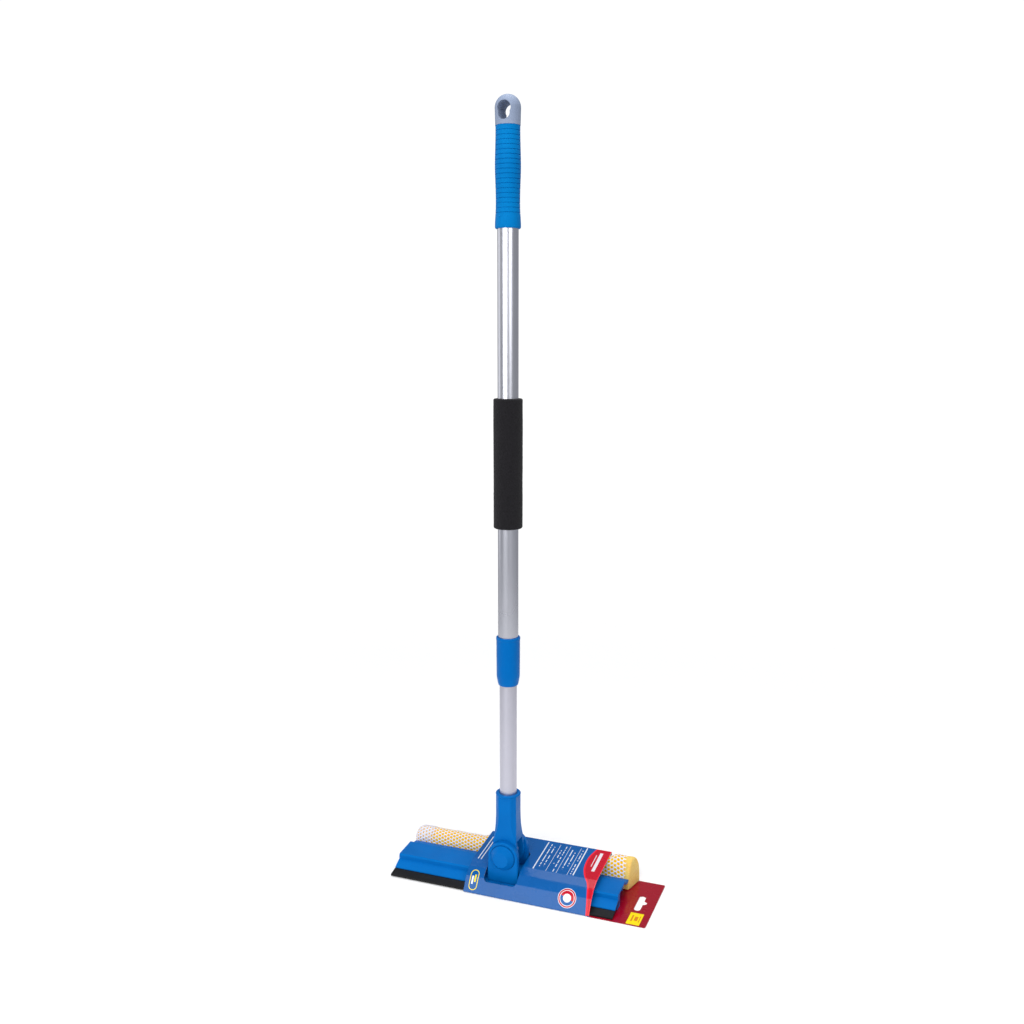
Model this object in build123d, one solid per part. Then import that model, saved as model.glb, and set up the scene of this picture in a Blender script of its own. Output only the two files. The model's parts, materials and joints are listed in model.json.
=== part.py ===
from build123d import *
import math
import os

# Telescopic window washer: a squeegee head with a net-covered sponge behind it, on a
# push-button swivel, with a twist-lock telescopic pole and a printed card sleeve.
# Millimetres. X runs along the head (right), Y to the back, Z up. The origin is on the
# pole axis, in the plane that the head's card sleeve rests on.

os.makedirs("parts", exist_ok=True)

# ---------------------------------------------------------------- driving dimensions
HEAD_HALF = 125.0          # half the blade's length
PIVOT_Z = 37.0             # swivel axis height
EAR_FACE_Y = 17.2          # outer face of each ear
EAR_INNER_Y = 11.6         # inner face of each ear
EAR_R = 16.6               # round top of the ears
CHEEK_FACE_Y = 11.2        # outer face of the socket's two cheeks
CHEEK_INNER_Y = 7.4
CHEEK_R = 15.0
REAR_EAR_R = 17.4

BUTTON_TRAVEL = 3.0
BUTTON_R = 13.3            # base of the button's cone and its flange
BUTTON_TOP_R = 8.0
BUTTON_FACE_Y = -23.6
STEM_R = 5.0
RUN = 0.05                 # radial clearance of a running fit
LUGS = 6
LUG_R = 11.9
HUB_R = 9.7
RING_TEETH = 24

SOCKET_TOP_Z = 104.0
SHOULDER_Z = 52.5          # where the socket's side walls end above the swivel
SOCKET_HALF = 11.4         # half width across the socket's flats, along X
SOCKET_FLAT = 6.9          # half width of one flat between its chamfers

LOWER_TUBE_R = 9.0
UPPER_TUBE_R = 10.5
TUBE_WALL = 0.8
LOWER_TUBE_Z = (62.0, 585.0)
UPPER_TUBE_Z = (238.0, 775.0)
COLLAR_Z = (222.8, 274.5)
FOAM_Z = (388.7, 520.2)
FOAM_R = 15.0
GRIP_Z = (685.0, 781.0)
RIBS = 18
RIB_PITCH = 4.5
RIB_TOP_Z = 776.0
TOTAL_HEIGHT = 810.0
CAP_R = 12.7
PAST = 1.0                 # how far a cut runs past the face that it opens

CARD = 0.45                # thickness of the printed card
SLEEVE_X = (-38.0, 101.0)
TAB_END_X = 159.6
CARD_Y = (-35.0, 54.5)


# ---------------------------------------------------------------- small helpers
def face_yz(points, radii=None):
    """A face in the YZ plane from (y, z) points, with optional corner radii."""
    if radii is None:
        outline = Polyline(*points, close=True)
    else:
        outline = FilletPolyline(*points, radius=radii, close=True)
    return Plane.YZ * make_face(outline)


def prism_x(face, x0, x1):
    """The solid that a YZ face sweeps from x0 to x1."""
    return Pos(x0, 0, 0) * extrude(face, amount=x1 - x0, dir=(1, 0, 0))


def lathe(points):
    """A solid of revolution about Z from (r, z) points."""
    return revolve(Plane.XZ * make_face(Polyline(*points, close=True)), Axis.Z)


def rod_z(radius, z0, z1, x=0.0, y=0.0):
    return Pos(x, y, (z0 + z1) / 2) * Cylinder(radius, z1 - z0)


def rod_y(radius, y0, y1, x=0.0, z=PIVOT_Z):
    return Pos(x, (y0 + y1) / 2, z) * Rot(90, 0, 0) * Cylinder(radius, y1 - y0)


def rod_x(radius, x0, x1, y, z):
    return Pos((x0 + x1) / 2, y, z) * Rot(0, 90, 0) * Cylinder(radius, x1 - x0)


def cone_y(r0, r1, y0, y1):
    """A cone frustum about the swivel axis, radius r0 at y0 and r1 at y1 (y0 < y1)."""
    cone = Cone(r0, r1, y1 - y0)
    return Pos(0, (y0 + y1) / 2, PIVOT_Z) * Rot(-90, 0, 0) * cone


def block(x0, x1, y0, y1, z0, z1):
    centre = Pos((x0 + x1) / 2, (y0 + y1) / 2, (z0 + z1) / 2)
    return centre * Box(x1 - x0, y1 - y0, z1 - z0)


def about_pivot(solid, degrees):
    """The solid turned about the swivel axis."""
    return Pos(0, 0, PIVOT_Z) * Rot(0, degrees, 0) * Pos(0, 0, -PIVOT_Z) * solid


def write(node, solid):
    export_step(solid, f"parts/{node}.step")


# ---------------------------------------------------------------- squeegee body
# The body is one moulding: a roof over a hollow, a skirt that holds the blade in a slot,
# a rear ledge over the sponge, end walls and ribs, and the two ears of the swivel.
BODY_FLOOR_Z = 0.8
REAR_WALL_Y = (26.0, 28.0)
LEDGE_Z = 10.2             # underside of the rear ledge
BLADE_SLOPE = math.tan(math.radians(12.0))
BLADE_TIP = (-32.4, 0.6)
BLADE_THICK = 1.9


def blade_line(y, above=0.0):
    """Height of the blade's underside at depth y, plus a distance above it."""
    return BLADE_TIP[1] + (y - BLADE_TIP[0]) * BLADE_SLOPE + above


SLOT_BACK_Y = -5.5
WEDGE_FRONT_Y = -13.0
WEDGE_THICK = 1.5
SLOT_TOP = BLADE_THICK + 0.05
BEAD_Y = -7.8
BEAD_R = 1.75

body_outline = [
    (-22.0, blade_line(-22.0, SLOT_TOP)),
    (-22.0, 5.8),
    (-11.8, 10.9),
    (-11.8, 15.0),
    (-10.6, 16.4),
    (16.0, 18.1),
    (22.0, 13.6),
    (30.5, 12.6),
    (30.5, 10.8),
    (REAR_WALL_Y[1], LEDGE_Z + 0.1),
    (REAR_WALL_Y[1], BODY_FLOOR_Z),
    (WEDGE_FRONT_Y, BODY_FLOOR_Z),
    (WEDGE_FRONT_Y, blade_line(WEDGE_FRONT_Y, -WEDGE_THICK)),
    (SLOT_BACK_Y, blade_line(SLOT_BACK_Y, -WEDGE_THICK)),
    (SLOT_BACK_Y, blade_line(SLOT_BACK_Y, SLOT_TOP)),
]
cavity_outline = [
    (-3.4, -1.0),
    (-3.4, 14.6),
    (15.2, 15.9),
    (20.6, 11.6),
    (REAR_WALL_Y[0], 10.8),
    (REAR_WALL_Y[0], -1.0),
]
END_RECESS = 12.0          # each end of the body is open for this length
END_WALL = 2.0
END_NOTCH = 5.5            # at each end the rear wall stops short, so the sponge shows
RIDGE_R = 0.8
RIB_THICK = 1.6
RIB_SPAN_Y = (-4.0, 27.0)
RIB_SPAN_Z = (2.5, 17.0)
RIB_XS = (-95.0, -60.0, -27.0, 27.0, 60.0, 95.0)
CLIP_XS = (-78.0, 42.0, 78.0)
CLIP_HALF = 6.0
CLIP_SLOT_Z = (4.0, 7.6)

body = prism_x(face_yz(body_outline), -HEAD_HALF, HEAD_HALF)
ridge_edges = body.edges().filter_by(Axis.X).filter_by_position(Axis.Z, 14.5, 18.5)
body = fillet(ridge_edges, RIDGE_R)
body -= rod_x(BEAD_R + 0.05, -HEAD_HALF, HEAD_HALF, BEAD_Y, blade_line(BEAD_Y, BLADE_THICK / 2))

inside = HEAD_HALF - END_RECESS - END_WALL
cavity = prism_x(face_yz(cavity_outline), -inside, inside)
for x in RIB_XS:
    cavity -= block(x - RIB_THICK / 2, x + RIB_THICK / 2, *RIB_SPAN_Y, *RIB_SPAN_Z)
body -= cavity
recess = prism_x(face_yz(cavity_outline), HEAD_HALF - END_RECESS, HEAD_HALF + PAST)
through_wall = (REAR_WALL_Y[0] - PAST, REAR_WALL_Y[1] + PAST)
recess += block(HEAD_HALF - END_NOTCH, HEAD_HALF + PAST, *through_wall, -PAST, LEDGE_Z)
body -= recess
body -= mirror(recess, about=Plane.YZ)
for x in CLIP_XS:
    body -= block(x - CLIP_HALF, x + CLIP_HALF, *through_wall, *CLIP_SLOT_Z)


def ear(radius, y0, y1, foot_z):
    """One ear of the swivel: a slightly flared plate with a round top."""
    flare = 0.8
    plate = Plane.XZ * make_face(
        Polyline(
            (-radius - flare, foot_z),
            (radius + flare, foot_z),
            (radius, PIVOT_Z),
            (-radius, PIVOT_Z),
            close=True,
        )
    )
    solid = Pos(0, y0, 0) * extrude(plate, amount=y1 - y0, dir=(0, 1, 0))
    solid += rod_y(radius, y0, y1)
    return solid


RECESS_Y = -13.6           # floor of the button's recess in the front ear
REAR_SEAT_Y = 14.2         # floor of the washer's recess in the rear ear
EAR_CHAMFER = 0.9
FRONT_FOOT_Z = 8.6
REAR_FOOT_Z = 15.6
FOOT_HALF = 20.0           # half width of the cuts that shape the front ear's foot
WASHER_SEAT_R = 8.6
front_ear = ear(EAR_R, -EAR_FACE_Y, -EAR_INNER_Y, FRONT_FOOT_Z)
rear_ear = ear(REAR_EAR_R, EAR_INNER_Y, EAR_FACE_Y, REAR_FOOT_Z)
rim = front_ear.faces().sort_by(Axis.Y)[0].edges()
front_ear = chamfer(rim, EAR_CHAMFER)
rim = rear_ear.faces().sort_by(Axis.Y)[-1].edges()
rear_ear = chamfer(rim, EAR_CHAMFER)
# The front ear's foot is stepped back, to stand on the skirt's slope.
foot_step = [(-18, 0), (-10, 0), (-10, 9.4), (-14.2, 9.4), (-14.2, 8.0), (-18, 7.0)]
front_ear -= prism_x(face_yz(foot_step), -FOOT_HALF, FOOT_HALF)
front_ear -= rod_y(BUTTON_R + 0.4, -EAR_FACE_Y - PAST, RECESS_Y)
front_ear -= rod_y(HUB_R + 0.1, RECESS_Y - PAST, -EAR_INNER_Y + PAST)
rear_ear -= rod_y(STEM_R + RUN, EAR_INNER_Y - PAST, EAR_FACE_Y + PAST)
rear_ear -= rod_y(WASHER_SEAT_R, REAR_SEAT_Y, EAR_FACE_Y + PAST)

LUG_HALF = 2.0
LUG_CLEAR = 0.3
for k in range(LUGS):
    half = LUG_HALF + LUG_CLEAR
    slot_depth = (RECESS_Y - PAST, -EAR_INNER_Y + PAST)
    slot = block(-half, half, *slot_depth, PIVOT_Z, PIVOT_Z + LUG_R + LUG_CLEAR)
    front_ear -= about_pivot(slot, k * 360 / LUGS)
body = body + front_ear + rear_ear
# Below the front ear the skirt keeps its slope, and the blade's slot stays open.
FRONT_Y = BLADE_TIP[0] - 8.0
slot_floor = blade_line(FRONT_Y, -3.0)
slot_outline = [
    (FRONT_Y, slot_floor),
    (FRONT_Y, blade_line(FRONT_Y, SLOT_TOP)),
    (SLOT_BACK_Y, blade_line(SLOT_BACK_Y, SLOT_TOP)),
    (SLOT_BACK_Y, blade_line(SLOT_BACK_Y, -WEDGE_THICK)),
    (WEDGE_FRONT_Y, blade_line(WEDGE_FRONT_Y, -WEDGE_THICK)),
    (WEDGE_FRONT_Y, slot_floor),
]
body -= prism_x(face_yz(slot_outline), -FOOT_HALF, FOOT_HALF)
write("squeegee_body", body)

# ---------------------------------------------------------------- blade and its wedge
BLADE_BACK_Y = SLOT_BACK_Y - 0.3
blade_outline = [
    BLADE_TIP,
    (BLADE_TIP[0], blade_line(BLADE_TIP[0], BLADE_THICK)),
    (BLADE_BACK_Y, blade_line(BLADE_BACK_Y, BLADE_THICK)),
    (BLADE_BACK_Y, blade_line(BLADE_BACK_Y)),
]
blade = prism_x(face_yz(blade_outline), -HEAD_HALF, HEAD_HALF)
blade += rod_x(BEAD_R, -HEAD_HALF, HEAD_HALF, BEAD_Y, blade_line(BEAD_Y, BLADE_THICK / 2))
write("blade_rubber", blade)

WEDGE_HALF = HEAD_HALF - 3.0
WEDGE_Y = (WEDGE_FRONT_Y + 0.1, BLADE_BACK_Y)
WEDGE_FIT = 0.05
wedge_outline = [
    (WEDGE_Y[0], blade_line(WEDGE_Y[0], -WEDGE_THICK + WEDGE_FIT)),
    (WEDGE_Y[0], blade_line(WEDGE_Y[0], -WEDGE_FIT)),
    (WEDGE_Y[1], blade_line(WEDGE_Y[1], -WEDGE_FIT)),
    (WEDGE_Y[1], blade_line(WEDGE_Y[1], -WEDGE_THICK + WEDGE_FIT)),
]
wedge = prism_x(face_yz(wedge_outline), -WEDGE_HALF, WEDGE_HALF)
wedge -= rod_x(BEAD_R + 0.1, -HEAD_HALF, HEAD_HALF, BEAD_Y, blade_line(BEAD_Y, BLADE_THICK / 2))
wedge = wedge.solids().sort_by(SortBy.VOLUME)[-1]
write("blade_wedge_strip", wedge)

# ---------------------------------------------------------------- sponge, its rail, its net
RAIL_HALF = 118.5
RAIL_Y = (28.1, 29.4)
RAIL_Z = (1.6, 9.9)
HOOK_HALF = CLIP_HALF - 0.3
HOOK_Y = (24.4, 25.7)      # the hook behind the rear wall
HOOK_Z = (4.3, 6.2, 7.3)   # underside of the clip, top of its arm, top of its hook
rail = block(-RAIL_HALF, RAIL_HALF, *RAIL_Y, *RAIL_Z)
for x in CLIP_XS:
    rail += block(x - HOOK_HALF, x + HOOK_HALF, HOOK_Y[0], RAIL_Y[0] + 0.1, HOOK_Z[0], HOOK_Z[1])
    rail += block(x - HOOK_HALF, x + HOOK_HALF, *HOOK_Y, HOOK_Z[0], HOOK_Z[2])
write("sponge_rail", rail)

NET = 0.6                  # thickness that the net's plain solid has
net_outline = [
    (29.6, 0.9),
    (52.7, 0.9),
    (50.2, 17.0),
    (47.6, 28.6),
    (38.5, 28.4),
    (31.4, 22.5),
    (31.4, 11.5),
    (29.6, 9.8),
]
net_radii = [0.8, 3.0, 3.0, 3.5, 6.0, 4.0, 0.8, 0.8]
net_face = face_yz(net_outline, net_radii)
core_face = offset(net_face, amount=-(NET + 0.02))
NET_X = (-127.5, 126.0)
CORE_X = (-126.6, 131.0)
net = prism_x(net_face, *NET_X)
net -= prism_x(offset(net_face, amount=-NET), NET_X[0] + NET, NET_X[1] + PAST)
write("sponge_net", net)

core = prism_x(core_face, *CORE_X)
# The free end is cut on a slant: the foam's outer side is longer than its base.
SLANT_X = 124.5
SLANT_ANGLE = 13.0
slant = Pos(SLANT_X, 25.0, 15.0) * Rot(0, 0, -SLANT_ANGLE) * Pos(20, 0, 0) * Box(40, 120, 80)
core -= slant
write("sponge_core", core)

# ---------------------------------------------------------------- card sleeve
sleeve_outline = [
    (CARD_Y[0], 0.0),
    (-25.5, 14.5),
    (-17.5, 21.3),
    (-6.0, 25.4),
    (50.0, 30.8),
    (CARD_Y[1], 0.0),
]
sleeve_radii = [0.8, 8.0, 8.0, 8.0, 1.2, 0.8]
wrap = face_yz(sleeve_outline, sleeve_radii)
sleeve = prism_x(wrap, *SLEEVE_X)
sleeve -= prism_x(offset(wrap, amount=-CARD), SLEEVE_X[0] - PAST, SLEEVE_X[1] + PAST)
TAB_CORNER_R = 2.0
TAB_Y = (CARD_Y[0] + 0.4, CARD_Y[1] - 0.2)
tab = block(SLEEVE_X[1] - 2, TAB_END_X, *TAB_Y, 0, CARD)
corners = tab.edges().filter_by(Axis.Z).group_by(Axis.X)[-1]
tab = fillet(corners, TAB_CORNER_R)
sleeve += tab

# Hanging slot in the tab: long along Y, with a round bump towards the tab's end.
SLOT_X = 143.2
SLOT_HALF = 3.4
SLOT_Y = (-6.0, 24.2)
BUMP = (146.3, 10.8)
BUMP_R = 3.8
slot_ends = (SLOT_Y[0] + SLOT_HALF, SLOT_Y[1] - SLOT_HALF)
euro = block(SLOT_X - SLOT_HALF, SLOT_X + SLOT_HALF, *slot_ends, -PAST, CARD + PAST)
for y in slot_ends:
    euro += rod_z(SLOT_HALF, -PAST, CARD + PAST, SLOT_X, y)
euro += rod_z(BUMP_R, -PAST, CARD + PAST, *BUMP)
sleeve -= euro

# Cut-out that the swivel's ears stand through.
CUT_X = (-18.4, 18.8)
CUT_Y = (-27.2, 21.0)
CUT_CORNER_R = 4.0
CUT_Z = (4.0, 60.0)
window = block(*CUT_X, *CUT_Y, *CUT_Z)
window = fillet(window.edges().filter_by(Axis.Z), CUT_CORNER_R)
sleeve -= window
write("card_sleeve", sleeve)

# ---------------------------------------------------------------- swivel: button and lock
HUB_END_Y = -9.6
LUG_START_Y = -13.5
FLANGE_Y = RECESS_Y - BUTTON_TRAVEL     # back of the button's flange, before it is pressed
FLANGE_THICK = 1.6
button = cone_y(BUTTON_TOP_R, BUTTON_R, BUTTON_FACE_Y, FLANGE_Y - FLANGE_THICK)
face_edge = button.edges().sort_by(Axis.Y)[0]
button = fillet(face_edge, 0.6)
button += rod_y(BUTTON_R, FLANGE_Y - FLANGE_THICK, FLANGE_Y)
button += rod_y(HUB_R, FLANGE_Y, HUB_END_Y)
for k in range(LUGS):
    lug = block(-LUG_HALF, LUG_HALF, LUG_START_Y, HUB_END_Y, PIVOT_Z + HUB_R - 1.0, PIVOT_Z + LUG_R)
    button += about_pivot(lug, k * 360 / LUGS)
SPRING_POCKET_Y = -15.5
SPRING_R = 7.1
WIRE_R = 0.45
POCKET_HALF = 1.2          # half width of the ring-shaped pocket round the spring
pocket = rod_y(SPRING_R + POCKET_HALF, SPRING_POCKET_Y, 0)
pocket -= rod_y(SPRING_R - POCKET_HALF, SPRING_POCKET_Y - PAST, PAST)
button -= pocket
SCREW_R = 1.6
button += rod_y(STEM_R, FLANGE_Y, REAR_SEAT_Y)
SCREW_END_Y = 5.0
button -= rod_y(SCREW_R, SCREW_END_Y - 1.0, REAR_SEAT_Y + PAST)
write("lock_button", button)

# Ratchet ring in the front cheek: a toothed cup whose floor carries the spring.
RING_R = 13.6
RING_TIP_R = LUG_R + LUG_CLEAR
RING_FLOOR_Y = -5.9
RING_END_Y = -4.9
TOOTH_DEPTH = 0.7
GAP_HALF = 0.75
ring = rod_y(RING_R, -CHEEK_FACE_Y, RING_END_Y)
ring -= rod_y(RING_TIP_R, -CHEEK_FACE_Y - PAST, RING_FLOOR_Y)
ring -= rod_y(STEM_R + RUN, RING_FLOOR_Y - PAST, RING_END_Y + PAST)
tip_z = PIVOT_Z + RING_TIP_R
for k in range(RING_TEETH):
    depth = (-CHEEK_FACE_Y - PAST, RING_FLOOR_Y)
    gap = block(-GAP_HALF, GAP_HALF, *depth, tip_z - 0.5, tip_z + TOOTH_DEPTH)
    ring -= about_pivot(gap, k * 360 / RING_TEETH)
write("ratchet_ring", ring)

# Coil spring between the button and the ratchet ring's floor.
SPRING_TURNS = 5
SPRING_GAP = 0.05          # between the wire and each seat
spring_length = RING_FLOOR_Y - SPRING_POCKET_Y - 2 * (WIRE_R + SPRING_GAP)
coil = Helix(pitch=spring_length / SPRING_TURNS, height=spring_length, radius=SPRING_R)
wire = sweep(Plane(origin=coil @ 0, z_dir=coil % 0) * Circle(WIRE_R), path=coil)
spring = Pos(0, SPRING_POCKET_Y + WIRE_R + SPRING_GAP, PIVOT_Z) * Rot(-90, 0, 0) * wire
write("button_spring", spring)

SCREW_HEAD_Y = (REAR_SEAT_Y + 1.25, REAR_SEAT_Y + 3.6)
WASHER_R = 8.0
SCREW_HEAD_R = 3.6
washer = rod_y(WASHER_R, REAR_SEAT_Y + 0.05, SCREW_HEAD_Y[0])
washer -= rod_y(SCREW_R + 0.1, REAR_SEAT_Y - PAST, SCREW_HEAD_Y[0] + PAST)
write("stem_washer", washer)
screw = rod_y(SCREW_R, SCREW_END_Y, SCREW_HEAD_Y[0]) + rod_y(SCREW_HEAD_R, *SCREW_HEAD_Y)
screw = fillet(screw.edges().sort_by(Axis.Y)[-1], 0.8)
CROSS_HALF = (0.45, 2.2)   # half width and half length of the cross recess
CROSS_DEPTH = 1.3
for angle in (0, 90):
    cross = Box(2 * CROSS_HALF[0], 2 * CROSS_DEPTH, 2 * CROSS_HALF[1])
    screw -= Pos(0, SCREW_HEAD_Y[1], PIVOT_Z) * Rot(0, angle, 0) * cross
write("stem_screw", screw)

# ---------------------------------------------------------------- swivel socket
def socket_section(half_x, half_y, side_flat, front_flat):
    """Rectangle across the pole with its corners cut off, leaving flats of those half widths."""
    return Polyline(
        (-half_x, -side_flat), (-front_flat, -half_y),
        (front_flat, -half_y), (half_x, -side_flat),
        (half_x, side_flat), (front_flat, half_y),
        (-front_flat, half_y), (-half_x, side_flat),
        close=True,
    )


RIM_Z = 102.5
FLARE_Z = 82.0
FLARE_HALF = 12.9
# Height, half width and half flat: towards the swivel the socket widens and its
# chamfers run out, so that the front and rear flats become the two cheeks.
LEVELS = [
    (SHOULDER_Z, FLARE_HALF, 12.5),
    (57.0, 12.5, 10.8),
    (62.0, 12.15, 9.2),
    (70.0, 11.75, 7.6),
    (FLARE_Z, SOCKET_HALF, SOCKET_FLAT),
]
sections = []
for z, half, flat in LEVELS:
    outline = socket_section(half, CHEEK_FACE_Y, CHEEK_FACE_Y - (half - flat), flat)
    sections.append(Pos(0, 0, z) * make_face(outline))
socket = loft(sections)
socket += extrude(sections[-1], amount=RIM_Z + 0.5 - FLARE_Z)
# The rim is round, with a rolled top edge, and just covers the section's corners.
RIM_R = 13.4
socket += lathe([
    (0, RIM_Z - 1.4), (RIM_R - 1.4, RIM_Z - 1.4), (RIM_R - 0.1, RIM_Z - 0.2), (RIM_R, RIM_Z + 0.3),
    (RIM_R - 0.2, SOCKET_TOP_Z - 0.6), (RIM_R - 0.8, SOCKET_TOP_Z), (0, SOCKET_TOP_Z),
])


def cheek(y0, y1):
    """Plate from the shoulder down to a round end about the swivel axis."""
    top = Plane.XZ * make_face(
        Polyline(
            (-FLARE_HALF, SHOULDER_Z + 0.5), (FLARE_HALF, SHOULDER_Z + 0.5),
            (FLARE_HALF, SHOULDER_Z - 1.0), (CHEEK_R, PIVOT_Z), (-CHEEK_R, PIVOT_Z),
            (-FLARE_HALF, SHOULDER_Z - 1.0), close=True,
        )
    )
    return Pos(0, y0, 0) * extrude(top, amount=y1 - y0, dir=(0, 1, 0)) + rod_y(CHEEK_R, y0, y1)


socket += cheek(-CHEEK_FACE_Y, -CHEEK_INNER_Y)
socket += cheek(CHEEK_INNER_Y, CHEEK_FACE_Y)
socket -= rod_z(LOWER_TUBE_R + 0.05, LOWER_TUBE_Z[0], SOCKET_TOP_Z + PAST)
socket -= lathe([
    (0, SOCKET_TOP_Z - 1.2), (LOWER_TUBE_R + 0.05, SOCKET_TOP_Z - 1.2),
    (LOWER_TUBE_R + 1.2, SOCKET_TOP_Z + 0.5), (0, SOCKET_TOP_Z + 0.5),
])
socket -= rod_y(RING_R, -CHEEK_FACE_Y - PAST, -CHEEK_INNER_Y + PAST)
PIVOT_BUSH_R = 7.0
socket -= rod_y(PIVOT_BUSH_R, CHEEK_INNER_Y - PAST, CHEEK_FACE_Y + PAST)
TUBE_SCREW_Z = 82.0
TUBE_SCREW_R = 1.3
socket -= rod_y(TUBE_SCREW_R, 8.0, CHEEK_FACE_Y + PAST, z=TUBE_SCREW_Z)
write("swivel_socket", socket)

BUSH_FLANGE = 1.5
bush = rod_y(PIVOT_BUSH_R, CHEEK_INNER_Y, CHEEK_FACE_Y)
bush += rod_y(PIVOT_BUSH_R + BUSH_FLANGE, CHEEK_INNER_Y - 1.0, CHEEK_INNER_Y)
bush -= rod_y(STEM_R + RUN, CHEEK_INNER_Y - 1.0 - PAST, CHEEK_FACE_Y + PAST)
write("pivot_bush", bush)

HEAD_R = 3.0
HEAD_THICK = 1.8
tube_screw = rod_y(TUBE_SCREW_R, 6.6, CHEEK_FACE_Y, z=TUBE_SCREW_Z)
tube_screw += rod_y(HEAD_R, CHEEK_FACE_Y, CHEEK_FACE_Y + HEAD_THICK, z=TUBE_SCREW_Z)
tube_screw = fillet(tube_screw.edges().sort_by(Axis.Y)[-1], 0.8)
for angle in (0, 90):
    groove = Box(0.8, 2.2, 3.6)
    tube_screw -= Pos(0, CHEEK_FACE_Y + HEAD_THICK, TUBE_SCREW_Z) * Rot(0, angle, 0) * groove
write("tube_screw", tube_screw)

# ---------------------------------------------------------------- lower pole and twist lock
through_lower = (LOWER_TUBE_Z[0] - PAST, LOWER_TUBE_Z[1] + PAST)
lower_tube = rod_z(LOWER_TUBE_R, *LOWER_TUBE_Z) - rod_z(LOWER_TUBE_R - TUBE_WALL, *through_lower)
lower_tube -= rod_y(TUBE_SCREW_R, 5.0, LOWER_TUBE_R + PAST, z=TUBE_SCREW_Z)
PIN_Z = 572.0
PIN_R = 1.25
pin_hole = rod_x(PIN_R, -LOWER_TUBE_R - PAST, LOWER_TUBE_R + PAST, 0, PIN_Z)
lower_tube -= pin_hole
write("lower_tube", lower_tube)

CORE_R = LOWER_TUBE_R - TUBE_WALL - 0.02
TUBE_TOP = LOWER_TUBE_Z[1]
COLLET_Z = (589.0, 611.0)
CONE_TOP_Z = 597.0
lock_core = lathe([
    (0, TUBE_TOP - 27), (CORE_R - 0.6, TUBE_TOP - 27), (CORE_R, TUBE_TOP - 26), (CORE_R, TUBE_TOP),
    (9.0, TUBE_TOP), (9.0, TUBE_TOP + 2.5), (8.0, TUBE_TOP + 3.5), (5.0, CONE_TOP_Z),
    (4.0, CONE_TOP_Z), (4.0, COLLET_Z[1] + 0.4), (0, COLLET_Z[1] + 0.4),
])
CORE_SCREW_R = 1.2
PIN_HALF = 8.9
lock_core -= pin_hole
lock_core -= rod_z(CORE_SCREW_R, COLLET_Z[1] - 12, COLLET_Z[1] + 2)
write("lock_core", lock_core)
write("core_pin", rod_x(PIN_R, -PIN_HALF, PIN_HALF, 0, PIN_Z))

CORE_WASHER_R = 7.4
HEAD_Z = COLLET_Z[1] + 1.55
core_washer = rod_z(CORE_WASHER_R, HEAD_Z - 1.1, HEAD_Z)
core_washer -= rod_z(CORE_SCREW_R + 0.1, HEAD_Z - 1.1 - PAST, HEAD_Z + PAST)
write("core_washer", core_washer)
core_screw = rod_z(CORE_SCREW_R, HEAD_Z - 11, HEAD_Z) + rod_z(2.8, HEAD_Z, HEAD_Z + 2.0)
core_screw -= block(-0.4, 0.4, -2, 2, HEAD_Z + 1.0, HEAD_Z + 3)
core_screw -= block(-2, 2, -0.4, 0.4, HEAD_Z + 1.0, HEAD_Z + 3)
write("core_screw", core_screw)

COLLET_R = UPPER_TUBE_R - TUBE_WALL - 0.08
collet = lathe([
    (4.0 + RUN, COLLET_Z[1]), (COLLET_R - 0.6, COLLET_Z[1]), (COLLET_R, COLLET_Z[1] - 0.8),
    (COLLET_R, COLLET_Z[0] + 0.6), (COLLET_R - 0.4, COLLET_Z[0]), (8.5, COLLET_Z[0]),
    (5.4, CONE_TOP_Z + 0.3), (4.0 + RUN, CONE_TOP_Z + 0.3),
])
SLIT_HALF = 0.75
for k in range(4):
    slit = block(4.6, 12, -SLIT_HALF, SLIT_HALF, COLLET_Z[0] - 1, COLLET_Z[0] + 14)
    collet -= Rot(0, 0, 45 + k * 90) * slit
for k in range(3):
    groove_z = COLLET_Z[0] + 4 + k * 5
    band = rod_z(COLLET_R + PAST, groove_z, groove_z + 1.2)
    collet -= band - rod_z(COLLET_R - 0.5, groove_z - PAST, groove_z + 3)
write("lock_collet", collet)

# ---------------------------------------------------------------- upper pole
through_upper = (UPPER_TUBE_Z[0] - PAST, UPPER_TUBE_Z[1] + PAST)
upper_tube = rod_z(UPPER_TUBE_R, *UPPER_TUBE_Z) - rod_z(UPPER_TUBE_R - TUBE_WALL, *through_upper)
write("upper_tube", upper_tube)

COLLAR_BORE = UPPER_TUBE_R + 0.02
collar_profile = [
    (9.3, COLLAR_Z[0]), (9.9, COLLAR_Z[0]), (10.4, COLLAR_Z[0] + 0.6), (11.0, 225.8),
    (12.0, 231.6), (12.1, 233.0), (12.3, 271.0), (12.55, 272.0),
    (12.55, 273.6), (12.0, COLLAR_Z[1]), (11.2, COLLAR_Z[1]), (COLLAR_BORE, COLLAR_Z[1] - 0.8),
    (COLLAR_BORE, UPPER_TUBE_Z[0]), (10.2, UPPER_TUBE_Z[0]), (10.2, 227.0), (9.3, 227.0),
]
write("lock_collar", lathe(collar_profile))

COLLAR_BUSH_Z = (227.1, UPPER_TUBE_Z[0] - 0.1)
collar_bush = rod_z(10.15, *COLLAR_BUSH_Z)
collar_bush -= rod_z(LOWER_TUBE_R + 0.08, COLLAR_BUSH_Z[0] - PAST, COLLAR_BUSH_Z[1] + PAST)
write("collar_bush", collar_bush)

FOAM_EDGE_R = 1.6
foam = rod_z(FOAM_R, *FOAM_Z)
foam = fillet(foam.edges().filter_by(GeomType.CIRCLE), FOAM_EDGE_R)
foam -= rod_z(UPPER_TUBE_R + 0.02, FOAM_Z[0] - PAST, FOAM_Z[1] + PAST)
write("foam_grip", foam)

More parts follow.
